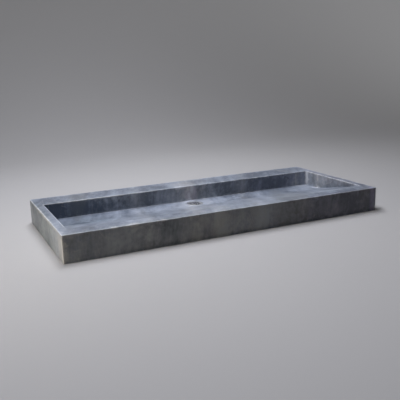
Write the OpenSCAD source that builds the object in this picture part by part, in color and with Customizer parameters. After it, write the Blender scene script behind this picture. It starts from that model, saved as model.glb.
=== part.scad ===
// Long, low trough washbasin carved from one marble block, with a compact push-open waste.
// The block's underside is at z = 0, its middle at x = y = 0, and its front faces -Y.
// Inside the bowl a flat strip runs along the back wall, and a straight ramp climbs from it
// to the front rim. The waste hangs in the strip, clamped in a recess under the stone.

/* [Block] */
// Length of the block, left to right
basin_l = 1205; // [700:5:1600]
// Depth of the block, front to back
basin_w = 515; // [460:5:620]
// Height of the block
basin_h = 90; // [70:1:140]
// Chamfer that breaks the block's edges and the bowl's upper edges
arris = 1.5; // [0.5:0.1:3]

/* [Bowl] */
// Width of the rim at each end
end_rim = 30; // [20:1:80]
// Width of the rim behind the bowl
back_rim = 107; // [40:1:125]
// Width of the rim in front of the bowl
front_rim = 50.5; // [30:0.5:90]
// Thickness of the stone under the flat strip
floor_t = 31; // [30.5:0.5:45]
// Width of the flat strip along the back wall
strip_w = 93; // [88:1:130]

/* [Drain seat] */
// Distance from the bowl's back wall to the drain's centre
drain_back = 55.5; // [36:0.5:59]
// Diameter of the hole through the stone
hole_d = 46; // [45.5:0.1:47]
// Depth of the turned seat that takes the flange
seat_depth = 3.5; // [3:0.1:4]
// Width of the joint between the flange and its seat
seat_joint = 0.5; // [0.3:0.1:1.5]
// Thickness of stone that the waste clamps
clamp_t = 9.5; // [8:0.5:10]
// Diameter of the recess under the stone, wide enough to turn the backnut
recess_d = 100; // [76:1:120]

/* [Waste] */
// Diameter of the flange
flange_d = 65; // [60:0.5:68]
// Thickness of the flange
flange_t = 2.5; // [2.3:0.1:3]
// Thickness of the gasket under the flange
gasket_t = 1; // [0.5:0.1:1.5]
// Diameter of the flange's mouth, where the plug sits
mouth_d = 46; // [45:0.5:48]
// Outer diameter of the threaded tail
tail_d = 41.91; // [40:0.01:42]
// Bore of the tail
bore_d = 36.4; // [36.2:0.1:37.6]
// Length of the tail, from the flange's underside to its lower end
tail_l = 28; // [26.5:0.1:28.5]
// Length of the plain neck below the flange
neck_l = 4; // [2:0.5:6]
// Width of the relief groove between the backnut's thread and the trap's
relief_w = 1; // [0.6:0.1:1.4]
// Depth of the relief groove
relief_depth = 0.6; // [0.4:0.1:0.8]
// Width of each spider arm
arm_w = 3; // [2:0.5:5]
// Height of the spider's arms and hub
hub_h = 5; // [4:0.5:6]
// Diameter of the spider's hub
hub_d = 24; // [23:0.5:26]
// Height of the hub's underside above the tail's lower end
hub_rise = 7; // [5.5:0.5:7.5]

/* [Clamping ring] */
// Thickness of the tapered rubber washer
tapered_t = 3; // [2:0.5:4]
// Outer diameter of the tapered washer
tapered_d = 58; // [54:1:64]
// Height of the tapered washer's collar inside the stone's hole
collar_h = 2.5; // [1:0.5:4]
// Thickness of the slip washer
slip_t = 1; // [0.5:0.1:1.5]
// Outer diameter of the slip washer
slip_d = 56; // [52:1:62]
// Width across the backnut's flats
nut_af = 52; // [50:1:58]
// Height of the backnut
nut_h = 6.5; // [5:0.5:7]
// Radial play of the threads, which are drawn plain
thread_play = 0.1; // [0.05:0.01:0.2]

/* [Click cartridge] */
// Outer diameter of the sleeve
sleeve_d = 18; // [17.5:0.1:18.6]
// Bore of the sleeve's lower chamber
chamber_d = 14.4; // [14.2:0.1:15]
// Length of the sleeve
sleeve_l = 23.5; // [23:0.1:23.8]
// Height of the shoulder's underside above the sleeve's lower end
shoulder_up = 11.5; // [11:0.1:12]
// Diameter of the shoulder
shoulder_d = 22; // [20:0.5:24]
// Thickness of the shoulder
shoulder_t = 1.5; // [1:0.1:2.5]
// Thickness of the sleeve's top wall
sleeve_top_t = 1.2; // [1:0.1:1.4]
// Bore between the ribs
rib_bore_d = 11.8; // [11.5:0.1:12.4]
// Width of the four slots between the ribs
slot_w = 3.2; // [3:0.1:4]
// Thickness of the washer under the shoulder
cartridge_washer_t = 0.5; // [0.3:0.1:0.8]
// Width across the cartridge nut's flats
cartridge_nut_af = 23; // [21:0.5:25]
// Height of the cartridge nut
cartridge_nut_h = 3; // [2:0.5:4]
// Thickness of the end plug that closes the sleeve
end_plug_t = 1.8; // [1.4:0.1:2.2]

/* [Moving pieces] */
// How far the plug rises when it is open
stroke = 6; // [5:0.1:6.4]
// How far the closed plug is pressed down to let go of the latch
press = 1.2; // [0.8:0.1:1.3]
// Gap between pieces that move past each other
run_gap = 0.3; // [0.2:0.05:0.4]
// Radial clearance of the plunger's rod in the sleeve's guide hole
guide_play = 0.075; // [0.03:0.005:0.1]
// Diameter of the plunger's rod
rod_d = 8; // [7.4:0.1:8.6]
// Height of the plunger's head
head_h = 2.2; // [1.8:0.1:2.4]
// Diameter of the plunger's head and the rotor's hub, without the lugs
core_d = 10.8; // [10.4:0.1:11]
// Width of the lugs that ride in the slots
lug_w = 2.4; // [2:0.1:2.5]
// Height of the rotor
rotor_h = 3.5; // [3:0.1:3.8]
// Depth of the crown teeth between the plunger and the rotor
crown_h = 0.9; // [0.6:0.1:1]
// Diameter of the plunger's pilot inside the rotor
pilot_d = 4.4; // [4:0.1:5]
// Diameter of the spring's wire
wire_d = 0.8; // [0.6:0.05:0.85]
// Mean diameter of the spring
spring_d = 9.4; // [9:0.1:9.8]
// Number of turns in the spring
spring_turns = 5; // [4:1:5]

/* [Plug] */
// Diameter of the plug's cap
cap_d = 41; // [40:0.1:42]
// Thickness of the cap at its rim
cap_rim_t = 0.9; // [0.7:0.1:1]
// Height of the dome above the rim
dome_h = 1; // [0.6:0.1:2]
// Thickness of the dome
dome_t = 1.5; // [1.2:0.1:1.8]
// Outer diameter of the skirt below the cap
skirt_d = 33.2; // [32:0.1:34.4]
// Wall of the skirt
skirt_wall = 1.8; // [1.5:0.1:2.4]
// How far the skirt reaches below the flange's top
skirt_drop = 5.6; // [5.4:0.1:6.4]
// Height of the seal
seal_h = 1.6; // [1.2:0.1:1.8]
// Depth of the groove that holds the seal
groove_depth = 0.8; // [0.5:0.1:1]
// Diameter of the boss under the cap
boss_d = 11; // [9:0.5:12]
// Diameter of the threaded stem
stem_d = 6; // [5:0.5:6]
// How far the stem reaches into the plunger
stem_low = 5; // [3:0.5:6]
// How far the stem reaches into the boss
stem_high = 4; // [3:0.1:4.2]

/* [Hidden] */
$fn = 96;
eps = 0.5;

// Places in the bowl
end_wall_x = basin_l / 2 - end_rim;
back_wall_y = basin_w / 2 - back_rim;
ramp_foot_y = back_wall_y - strip_w;
ramp_head_y = -basin_w / 2 + front_rim;
drain_y = back_wall_y - drain_back;

// Heights of the waste, from the seat in the stone
seat_z = floor_t - seat_depth;
ceiling_z = seat_z - clamp_t;
flange_z = seat_z + gasket_t;
flange_top_z = flange_z + flange_t;
tail_z = flange_z - tail_l;
slip_z = ceiling_z - tapered_t - slip_t;
nut_z = slip_z - nut_h;
hub_z = tail_z + hub_rise;
hub_top_z = hub_z + hub_h;
lip_r = 0.6;

// The flange's mouth: a short upright wall, and a cone down to the bore
mouth_drop = 1.4;
cone_drop = 3.2;
cone_top_inset = 0.6;
neck_play = 0.5;
neck_d = hole_d - 2 * neck_play;

// Heights of the cartridge, from the spider's hub
shoulder_z = hub_top_z + cartridge_washer_t;
sleeve_z = shoulder_z - shoulder_up;
sleeve_top_z = sleeve_z + sleeve_l;
slot_top_z = sleeve_top_z - sleeve_top_t;
head_top_z = slot_top_z - run_gap - stroke;
head_z = head_top_z - head_h;
rotor_top_z = head_z - crown_h - run_gap;
rotor_z = rotor_top_z - rotor_h;
slot_low_z = rotor_top_z + run_gap;
end_plug_top_z = sleeve_z + end_plug_t;

// The plug stands on the rod, clear of the sleeve when it is pressed
rod_top_z = sleeve_top_z + press + run_gap;
cap_rim_z = flange_top_z - cap_rim_t;
skirt_z = flange_top_z - skirt_drop;
seal_z = skirt_z + 0.6;
seal_d = bore_d - 2 * run_gap;
slot_r = chamber_d / 2 - 0.2;
lug_reach = slot_r - run_gap;

// Corner points of a rectangle whose four corners are cut off
function cut_rect(w, h, c) =
    [[-w / 2 + c, -h / 2], [w / 2 - c, -h / 2], [w / 2, -h / 2 + c], [w / 2, h / 2 - c],
     [w / 2 - c, h / 2], [-w / 2 + c, h / 2], [-w / 2, h / 2 - c], [-w / 2, -h / 2 + c]];

// Points on a round of radius r about a centre, from one angle to another
function round_pts(centre, r, from, to, steps = 6) =
    [for (i = [0:steps]) let (a = from + (to - from) * i / steps)
        centre + r * [cos(a), sin(a)]];

// Places a shape on the drain's axis
module at_drain() {
    translate([0, drain_y, 0]) children();
}

// A plain ring
module ring(z, h, outer_d, inner_d) {
    translate([0, 0, z]) difference() {
        cylinder(h = h, d = outer_d);
        translate([0, 0, -eps]) cylinder(h = h + 2 * eps, d = inner_d);
    }
}

// A hexagonal nut whose corners are turned off at both faces
module hex_nut(z, h, af, inner_d) {
    corner_r = af / sqrt(3);
    face_r = af / 2 + 0.2;
    turned_r = corner_r + 0.5;
    turned_h = (turned_r - face_r) * tan(25);
    translate([0, 0, z]) difference() {
        intersection() {
            cylinder(h = h, r = corner_r, $fn = 6);
            rotate_extrude() polygon([[0, 0], [face_r, 0], [turned_r, turned_h],
                [turned_r, h - turned_h], [face_r, h], [0, h]]);
        }
        translate([0, 0, -eps]) cylinder(h = h + 2 * eps, d = inner_d);
    }
}

// The block before it is carved, with every edge broken
module raw_block() {
    intersection() {
        linear_extrude(basin_h) polygon(cut_rect(basin_l, basin_w, arris));
        translate([0, 0, basin_h / 2]) rotate([90, 0, 90])
            linear_extrude(basin_l + 2, center = true)
                polygon(cut_rect(basin_w, basin_h, arris));
        translate([0, 0, basin_h / 2]) rotate([90, 0, 0])
            linear_extrude(basin_w + 2, center = true)
                polygon(cut_rect(basin_l, basin_h, arris));
    }
}

// The bowl: its section across the basin, trimmed by its section along the basin
module bowl() {
    above = basin_h + 1;
    intersection() {
        rotate([90, 0, 90]) linear_extrude(basin_l, center = true)
            polygon([[back_wall_y, floor_t], [back_wall_y, basin_h - arris],
                [back_wall_y + arris + 1, above], [ramp_head_y, above],
                [ramp_head_y, basin_h], [ramp_foot_y, floor_t]]);
        rotate([90, 0, 0]) linear_extrude(basin_w, center = true)
            polygon([[-end_wall_x, 0], [end_wall_x, 0], [end_wall_x, basin_h - arris],
                [end_wall_x + arris + 1, above], [-end_wall_x - arris - 1, above],
                [-end_wall_x, basin_h - arris]]);
    }
}

// The marble block, with the flange's seat, the hole and the recess under it
module basin_block() {
    seat_d = flange_d + 2 * seat_joint;
    color([0.50, 0.54, 0.60]) difference() {
        raw_block();
        bowl();
        at_drain() {
            translate([0, 0, seat_z]) cylinder(h = seat_depth + eps, d = seat_d);
            cylinder(h = floor_t, d = hole_d);
            translate([0, 0, -eps]) cylinder(h = ceiling_z + eps, d = recess_d);
        }
    }
}

// Flange, neck and threaded tail in one turned shell
module waste_shell() {
    flange_r = flange_d / 2;
    mouth_r = mouth_d / 2;
    tail_r = tail_d / 2;
    bore_r = bore_d / 2;
    relief_r = tail_r - relief_depth;
    edge_r = 1.2;
    thread_cut = 1;
    rotate_extrude() polygon(concat(
        [[bore_r, tail_z], [tail_r - thread_cut, tail_z], [tail_r, tail_z + thread_cut],
         [tail_r, nut_z - relief_w], [relief_r, nut_z - relief_w], [relief_r, nut_z],
         [tail_r, nut_z], [tail_r, flange_z - neck_l], [neck_d / 2, flange_z - neck_l],
         [neck_d / 2, flange_z], [flange_r, flange_z]],
        round_pts([flange_r - edge_r, flange_top_z - edge_r], edge_r, 0, 90),
        round_pts([mouth_r + lip_r, flange_top_z - lip_r], lip_r, 90, 180),
        [[mouth_r - cone_top_inset, flange_top_z - mouth_drop],
         [bore_r, flange_top_z - cone_drop]]));
}

// Three arms and a hub that carry the cartridge in the middle of the tail
module spider() {
    reach = (bore_d + tail_d) / 4;
    difference() {
        translate([0, 0, hub_z]) union() {
            cylinder(h = hub_h, d = hub_d);
            for (a = [90, 210, 330]) rotate(a)
                translate([0, -arm_w / 2, 0]) cube([reach, arm_w, hub_h]);
        }
        translate([0, 0, hub_z - eps])
            cylinder(h = hub_h + 2 * eps, d = sleeve_d + 2 * thread_play);
    }
}

module waste_body() {
    color([0.80, 0.81, 0.83]) at_drain() {
        waste_shell();
        spider();
    }
}

module flange_gasket() {
    color([0.12, 0.12, 0.13]) at_drain()
        ring(seat_z, gasket_t, flange_d - 2, neck_d + 0.6);
}

// Rubber washer whose collar centres the tail in the stone's hole
module tapered_washer() {
    inner_r = tail_d / 2 + thread_play;
    outer_r = tapered_d / 2;
    collar_r = hole_d / 2 - run_gap;
    low = slip_z + slip_t;
    color([0.10, 0.10, 0.11]) at_drain() rotate_extrude() polygon([
        [inner_r, low], [outer_r, low], [outer_r, low + tapered_t / 2],
        [outer_r - 2, ceiling_z], [collar_r, ceiling_z],
        [collar_r - 0.8, ceiling_z + collar_h], [inner_r, ceiling_z + collar_h]]);
}

module slip_washer() {
    color([0.85, 0.85, 0.82]) at_drain()
        ring(slip_z, slip_t, slip_d, tail_d + 4 * thread_play);
}

module backnut() {
    color([0.78, 0.65, 0.38]) at_drain()
        hex_nut(nut_z, nut_h, nut_af, tail_d + 2 * thread_play);
}

// Housing of the click cartridge, with four ribs and four slots inside
module cartridge_sleeve() {
    notch_w = 3.2;
    notch_h = 1.2;
    color([0.75, 0.76, 0.74]) at_drain() difference() {
        union() {
            translate([0, 0, sleeve_z]) cylinder(h = sleeve_l, d = sleeve_d);
            translate([0, 0, shoulder_z]) cylinder(h = shoulder_t, d = shoulder_d);
        }
        translate([0, 0, sleeve_z - eps])
            cylinder(h = slot_low_z - sleeve_z + eps, d = chamber_d);
        translate([0, 0, slot_low_z - eps])
            cylinder(h = slot_top_z - slot_low_z + eps, d = rib_bore_d);
        translate([0, 0, slot_top_z - eps])
            cylinder(h = sleeve_top_t + 2 * eps, d = rod_d + 2 * guide_play);
        intersection() {
            translate([0, 0, slot_low_z - eps])
                cylinder(h = slot_top_z - slot_low_z + eps, r = slot_r);
            union() {
                for (a = [0:90:270]) rotate(a)
                    translate([0, -slot_w / 2, slot_low_z - 2 * eps])
                        cube([sleeve_d, slot_w, slot_top_z - slot_low_z + 3 * eps]);
                for (a = [45:90:315]) rotate(a)
                    translate([0, 0, slot_low_z]) rotate([90, 0, 90])
                        linear_extrude(sleeve_d)
                            polygon([[-notch_w * 1.5, -notch_h], [notch_w / 2, -notch_h],
                                [notch_w / 2, notch_h]]);
            }
        }
    }
}

module cartridge_washer() {
    color([0.85, 0.85, 0.82]) at_drain()
        ring(hub_top_z, cartridge_washer_t, shoulder_d, sleeve_d + 2 * thread_play);
}

module cartridge_nut() {
    color([0.78, 0.65, 0.38]) at_drain()
        hex_nut(hub_z - cartridge_nut_h, cartridge_nut_h, cartridge_nut_af,
            sleeve_d + 2 * thread_play);
}

// Disc that closes the sleeve, with a pilot that centres the spring
module cartridge_end_plug() {
    pilot_h = 1.5;
    pilot = spring_d - wire_d - 1;
    color([0.20, 0.20, 0.21]) at_drain() translate([0, 0, sleeve_z]) {
        cylinder(h = end_plug_t, d = chamber_d - 2 * thread_play);
        cylinder(h = end_plug_t + pilot_h, d = pilot);
    }
}

// Centre line of the spring, at rest between the end plug and the rotor
spring_low_z = end_plug_top_z + wire_d / 2 + 0.05;
spring_high_z = rotor_z - wire_d / 2 - 0.05;
spring_rise = spring_high_z - spring_low_z;
wire_sides = 6;
wire_rings = 8;
ring_total = spring_turns * wire_rings;

function spring_pt(i) =
    let (a = 360 * i / wire_rings)
        [spring_d / 2 * cos(a), spring_d / 2 * sin(a),
         spring_low_z + spring_rise * i / ring_total];

// Ring of points round the wire at step i
function wire_ring(i) =
    let (a = 360 * i / wire_rings, out = [cos(a), sin(a), 0],
        slope = atan(spring_rise / spring_turns / (PI * spring_d)),
        up = [sin(slope) * sin(a), -sin(slope) * cos(a), cos(slope)])
        [for (k = [0:wire_sides - 1]) let (b = 360 * k / wire_sides)
            spring_pt(i) + wire_d / 2 * (cos(b) * out + sin(b) * up)];

spring_gap = spring_rise / spring_turns - wire_d;
echo(spring_least_gap_mm = spring_gap);

// One unbroken tube along the spring's centre line
module return_spring() {
    pts = [for (i = [0:ring_total]) each wire_ring(i)];
    last = ring_total * wire_sides;
    sides = [for (i = [0:ring_total - 1], k = [0:wire_sides - 1])
        let (a = i * wire_sides + k, b = i * wire_sides + (k + 1) % wire_sides)
            each [[a, b + wire_sides, a + wire_sides], [a, b, b + wire_sides]]];
    caps = [for (k = [1:wire_sides - 2])
        each [[0, k + 1, k], [last, last + k, last + k + 1]]];
    color([0.70, 0.71, 0.72]) at_drain() polyhedron(pts, concat(sides, caps), convexity = 8);
}

// Ridges that cross on the axis, as the crown teeth of both pieces
module crown(z, depth) {
    half = core_d * 0.12;
    for (a = [22.5:45:157.5]) rotate(a)
        translate([0, 0, z]) rotate([90, 0, 90])
            linear_extrude(core_d + 2, center = true)
                polygon([[-half, 0], [0, -depth], [half, 0], [half, eps], [-half, eps]]);
}

// Ring that turns one step at each press; its lugs lie in line with the slots here
module index_rotor() {
    color([0.90, 0.90, 0.88]) at_drain() difference() {
        union() {
            translate([0, 0, rotor_z]) cylinder(h = rotor_h, d = core_d);
            for (a = [0:90:270]) rotate(a)
                translate([0, 0, rotor_z]) rotate([90, 0, 90])
                    linear_extrude(lug_reach)
                        polygon([[-lug_w / 2, 0], [lug_w / 2, 0], [lug_w / 2, rotor_h],
                            [-lug_w / 2, rotor_h - crown_h]]);
        }
        translate([0, 0, rotor_z - eps])
            cylinder(h = rotor_h + 2 * eps, d = pilot_d + 2 * run_gap);
        crown(rotor_top_z, crown_h);
    }
}

// Rod with a lugged head, crown teeth and a pilot for the rotor
module plunger() {
    pilot_drop = 2.4;
    color([0.22, 0.22, 0.23]) at_drain() difference() {
        union() {
            translate([0, 0, head_z]) cylinder(h = head_h, d = core_d);
            translate([0, 0, head_z - pilot_drop])
                cylinder(h = pilot_drop + eps, d = pilot_d);
            translate([0, 0, head_z]) cylinder(h = rod_top_z - head_z, d = rod_d);
            for (a = [0:90:270]) rotate(a)
                translate([0, -lug_w / 2, head_z]) cube([lug_reach, lug_w, head_h]);
            intersection() {
                crown(head_z, crown_h);
                translate([0, 0, head_z - crown_h - eps])
                    cylinder(h = crown_h + 2 * eps, d = core_d);
            }
        }
        translate([0, 0, rod_top_z - stem_low])
            cylinder(h = stem_low + eps, d = stem_d + 2 * thread_play);
    }
}

module plug_stem() {
    color([0.78, 0.65, 0.38]) at_drain() translate([0, 0, rod_top_z - stem_low])
        cylinder(h = stem_low + stem_high, d = stem_d);
}

// Lip ring that seals the plug in the tail's bore
module plug_seal() {
    inner_r = skirt_d / 2 - groove_depth;
    band_r = skirt_d / 2 + 0.4;
    seal_r = seal_d / 2;
    color([0.10, 0.10, 0.11]) at_drain() rotate_extrude() polygon([
        [inner_r, seal_z], [band_r, seal_z], [seal_r, seal_z + seal_h * 0.35],
        [seal_r, seal_z + seal_h * 0.6], [band_r, seal_z + seal_h],
        [inner_r, seal_z + seal_h]]);
}

// Domed cap with its skirt, seal groove and boss
module plug_cap() {
    cap_r = cap_d / 2;
    rim_round = 0.3;
    ball_r = (cap_r * cap_r + dome_h * dome_h) / (2 * dome_h);
    ball_z = flange_top_z + dome_h - ball_r;
    edge_a = acos(cap_r / ball_r);
    skirt_r = skirt_d / 2;
    under_r = ball_r - dome_t;
    inner_r = skirt_r - skirt_wall;
    groove_r = skirt_r - groove_depth;
    inner_a = acos(inner_r / under_r);
    boss_a = acos(boss_d / 2 / under_r);
    outline = concat(
        [[0, rod_top_z], [boss_d / 2, rod_top_z]],
        round_pts([0, ball_z], under_r, boss_a, inner_a),
        [[inner_r, skirt_z], [skirt_r, skirt_z], [skirt_r, seal_z], [groove_r, seal_z],
         [groove_r, seal_z + seal_h], [skirt_r, seal_z + seal_h], [skirt_r, cap_rim_z],
         [cap_r - rim_round, cap_rim_z], [cap_r, cap_rim_z + rim_round]],
        round_pts([0, ball_z], ball_r, edge_a, 90, 12));
    color([0.82, 0.83, 0.85]) at_drain() difference() {
        rotate_extrude() polygon(outline);
        translate([0, 0, rod_top_z - eps])
            cylinder(h = stem_high + 0.1 + eps, d = stem_d + 2 * thread_play);
    }
}

basin_block();
waste_body();
flange_gasket();
tapered_washer();
slip_washer();
backnut();
cartridge_sleeve();
cartridge_washer();
cartridge_nut();
cartridge_end_plug();
return_spring();
index_rotor();
plunger();
plug_stem();
plug_seal();
plug_cap();
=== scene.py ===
"""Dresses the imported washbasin: a trough of honed blue-grey marble with a push-open waste."""

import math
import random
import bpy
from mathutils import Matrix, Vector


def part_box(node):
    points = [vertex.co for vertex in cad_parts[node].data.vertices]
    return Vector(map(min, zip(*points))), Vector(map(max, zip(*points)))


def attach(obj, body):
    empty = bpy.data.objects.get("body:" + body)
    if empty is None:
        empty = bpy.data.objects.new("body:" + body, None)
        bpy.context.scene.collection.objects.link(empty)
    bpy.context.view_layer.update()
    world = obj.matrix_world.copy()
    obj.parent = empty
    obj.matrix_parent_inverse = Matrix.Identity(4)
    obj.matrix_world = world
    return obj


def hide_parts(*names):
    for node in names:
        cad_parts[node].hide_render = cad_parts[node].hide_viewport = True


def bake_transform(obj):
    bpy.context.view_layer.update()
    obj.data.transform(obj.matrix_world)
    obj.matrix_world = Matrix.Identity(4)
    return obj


bl_info = {
    "name": "Marble Trough Washbasin",
    "version": (1, 0, 0),
    "blender": (4, 5, 0),
    "location": "View3D > Sidebar > Washbasin",
    "description": "Models and finishes the stone block, its waste and the studio round the packed frame",
    "category": "Object",
}

from contextlib import contextmanager

import bmesh
import bpy
from bpy.props import FloatProperty, FloatVectorProperty, PointerProperty
from mathutils import Matrix, Vector

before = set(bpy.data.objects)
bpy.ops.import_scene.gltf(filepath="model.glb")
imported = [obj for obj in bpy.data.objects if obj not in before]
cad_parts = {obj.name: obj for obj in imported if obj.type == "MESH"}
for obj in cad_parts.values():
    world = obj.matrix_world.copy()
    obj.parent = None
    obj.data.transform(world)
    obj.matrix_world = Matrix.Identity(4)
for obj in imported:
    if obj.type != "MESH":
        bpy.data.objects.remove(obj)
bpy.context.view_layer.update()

MM = 0.001
BLOCK_LOW, BLOCK_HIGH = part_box("basin_block")
WASTE_LOW, WASTE_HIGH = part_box("waste_body")
DRAIN = Vector(((WASTE_LOW.x + WASTE_HIGH.x) / 2, (WASTE_LOW.y + WASTE_HIGH.y) / 2, 0))
STONE_FLOOR = 31 * MM
RECESS_CEILING = 18 * MM
MERGE = 0.002 * MM
SMOOTH_ANGLE = math.radians(32)
# steps to a turn; those of the two larger threads are primes, so that their corners don't meet the body's
TURN_STEPS, SMALL_STEPS, CAP_STEPS, STEM_STEPS = 128, 96, 160, 64
THREAD_STEPS, FINE_THREAD_STEPS, STUD_THREAD_STEPS, SPRING_STEPS = 71, 61, 48, 44
# a count that sets no corner of a round on a tooth's middle line
CROWN_STEPS = 90
QUARTERS = range(0, 360, 90)

# radii of the waste's shell, and the depth of the groove under its thread, in millimetres
FLANGE_R, MOUTH_R, BORE_R, NECK_R, TAIL_R, RELIEF = 32.5, 23.0, 18.2, 22.5, 20.955, 0.6
# sizes of the click cartridge that two or more of its pieces share, in millimetres
CORE_R, LUG_WIDE, LUG_REACH, SLOT_WIDE, SLOT_R = 5.4, 2.4, 6.7, 3.2, 7.0
CROWN, RUN_GAP, SLEEVE_R, SHOULDER_R = 0.9, 0.3, 9.0, 11.0
# the stem, the groove for the plug's seal, and the play of a thread or a bore round it, in millimetres
STEM_R, GROOVE_R, PLAY = 3.0, 15.8, 0.1

# how far the stone's beds lean to the right towards the back, in degrees
BED_LEAN = 21.0


# Settings


def length_setting(label, about, size):
    """A length in a panel, given in millimetres."""
    return FloatProperty(name=label, description=about, default=size * MM, unit="LENGTH")


def colour_setting(label, about, colour):
    return FloatVectorProperty(name=label, description=about, default=colour, subtype="COLOR")


class StoneSettings(bpy.types.PropertyGroup):
    """Sizes and colours of the stone block."""

    end_rim: length_setting("End rim", "Width of the rim at each end", 30)
    back_rim: length_setting("Back rim", "Width of the rim behind the bowl", 107)
    front_rim: length_setting("Front rim", "Width of the rim in front of the bowl", 50.5)
    floor_thickness: length_setting("Floor", "Thickness of stone under the flat strip", 31)
    strip_width: length_setting("Strip", "Width of the flat strip along the back wall", 93)
    arris: length_setting("Arris", "Width of the eased edges", 1.5)
    dark: colour_setting("Dark cloud", "Deepest colour of the clouded stone", (0.104, 0.119, 0.146))
    light: colour_setting("Light cloud", "Palest colour of the clouded stone", (0.325, 0.352, 0.400))
    vein: colour_setting("Vein", "Colour of the pale veins", (0.60, 0.575, 0.53))
    milky: colour_setting("Milky wisps", "Colour of the cool white wisps", (0.60, 0.62, 0.66))
    fresh: colour_setting("Fresh stone", "Colour of stone where a chip has come off", (0.66, 0.67, 0.68))


class WasteSettings(bpy.types.PropertyGroup):
    """Sizes and colours of the waste."""

    thread_pitch: length_setting("Thread pitch", "Pitch of the tail's pipe thread", 2.309)
    thread_depth: length_setting("Thread depth", "Depth of the tail's pipe thread", 0.9)
    chrome: colour_setting("Chrome", "Colour of the plated flange and plug", (0.78, 0.79, 0.81))
    brass: colour_setting("Brass", "Colour of the bare brass nuts and stem", (0.72, 0.55, 0.26))
    nickel: colour_setting("Nickel", "Colour of the plated cartridge", (0.70, 0.68, 0.64))
    steel: colour_setting("Spring steel", "Colour of the return spring", (0.56, 0.57, 0.59))


class StageSettings(bpy.types.PropertyGroup):
    """The floor, lights and camera."""

    floor: colour_setting("Floor", "Colour of the plain floor", (0.50, 0.475, 0.44))
    bounce: colour_setting("Floor bounce", "Colour of the light that the floor throws back up", (0.262, 0.238, 0.212))
    lens: FloatProperty(name="Lens", description="Focal length of the camera, in millimetres", default=51.588)


# Modelling helpers


def only(*objects):
    """Leaves just these objects selected, the last of them active."""
    bpy.ops.object.select_all(action="DESELECT")
    for obj in objects:
        obj.select_set(True)
        bpy.context.view_layer.objects.active = obj


def started(name):
    """The object that a primitive operator has just added, under its own name."""
    obj = bpy.context.object
    obj.name = name
    obj.data.name = name
    return obj


def pick(obj, kind, test):
    """Selects, in edit mode, just the faces, edges or verts that pass a test. Returns how many."""
    mesh = bmesh.from_edit_mesh(obj.data)
    mesh.select_mode = {{"faces": "FACE", "edges": "EDGE", "verts": "VERT"}[kind]}
    for items in (mesh.verts, mesh.edges, mesh.faces):
        for item in items:
            item.select = False
    chosen = [item for item in getattr(mesh, kind) if test(item)]
    for item in chosen:
        item.select = True
    mesh.select_flush_mode()
    bmesh.update_edit_mesh(obj.data)
    if not chosen:
        raise RuntimeError(f"{obj.name}: nothing to select")
    return len(chosen)


@contextmanager
def editing(obj):
    """Edit mode on one object, with all of it selected at the start."""
    only(obj)
    bpy.ops.object.mode_set(mode="EDIT")
    bpy.ops.mesh.select_all(action="SELECT")
    yield
    bpy.ops.object.mode_set(mode="OBJECT")


def modify(obj, kind, **settings):
    """Adds a modifier with these settings, and applies it."""
    only(obj)
    bpy.ops.object.modifier_add(type=kind)
    modifier = obj.modifiers[-1]
    for key, value in settings.items():
        setattr(modifier, key, value)
    bpy.ops.object.modifier_apply(modifier=modifier.name)


def apply_place(obj):
    """Puts the object's place, turn and scale into its mesh."""
    only(obj)
    bpy.ops.object.transform_apply(location=True, rotation=True, scale=True)


def smooth(obj):
    only(obj)
    bpy.ops.object.shade_smooth_by_angle(angle=SMOOTH_ANGLE)


def even_normals(obj):
    """Keeps large flats flat beside rounded edges."""
    modify(obj, "WEIGHTED_NORMAL", keep_sharp=True)


def cut(obj, cutter, operation="DIFFERENCE"):
    """Cuts, joins or trims obj with another solid, which is then removed."""
    modify(obj, "BOOLEAN", operation=operation, solver="EXACT", material_mode="TRANSFER", object=cutter)
    bpy.data.objects.remove(cutter)
    if not obj.data.polygons:
        raise RuntimeError(f"{obj.name}: the cut left nothing")
    return obj


def weld(obj):
    """Merges points that the cuts have left on top of each other, which keeps the mesh closed."""
    with editing(obj):
        bpy.ops.mesh.remove_doubles(threshold=MERGE)
    return obj


def joined(name, objects):
    only(*objects)
    bpy.ops.object.join()
    return started(name)


def arc(centre, radius, first, last, steps=6):
    """Points on a round, from one angle to another, in degrees."""
    turns = [math.radians(first + (last - first) * i / steps) for i in range(steps + 1)]
    return [(centre[0] + radius * math.cos(t), centre[1] + radius * math.sin(t)) for t in turns]


def turned(name, profile, steps=TURN_STEPS, closed=True):
    """Spins a profile of (radius, height) points, in millimetres, round the drain's axis."""
    points = [DRAIN + Vector((r, 0, z)) * MM for r, z in profile]
    if closed:
        points.append(points[0])
    bpy.ops.mesh.primitive_plane_add(size=MM, location=(0, 0, 0))
    obj = started(name)
    with editing(obj):
        bpy.ops.mesh.merge(type="CENTER")
        bpy.ops.transform.translate(value=points[0])
        for a, b in zip(points, points[1:]):
            bpy.ops.mesh.extrude_vertices_move(TRANSFORM_OT_translate={"value": b - a})
        bpy.ops.mesh.select_all(action="SELECT")
        bpy.ops.mesh.spin(steps=steps, angle=math.tau, center=DRAIN, axis=(0, 0, 1))
        bpy.ops.mesh.select_all(action="SELECT")
        bpy.ops.mesh.remove_doubles(threshold=MERGE)
        bpy.ops.mesh.normals_make_consistent(inside=False)
    return obj


def coiled(obj, pitch, turns, steps):
    """Winds a profile up round the origin's axis, closes both ends of the coil and moves it to the drain."""
    modify(obj, "SCREW", axis="Z", angle=math.tau, screw_offset=pitch * MM, iterations=turns, steps=steps,
           render_steps=steps, use_merge_vertices=False)
    with editing(obj):
        pick(obj, "edges", lambda edge: edge.is_boundary)
        bpy.ops.mesh.edge_face_add()
        bpy.ops.mesh.select_all(action="SELECT")
        bpy.ops.mesh.normals_make_consistent(inside=False)
        bpy.ops.transform.translate(value=DRAIN)
    return obj


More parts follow.
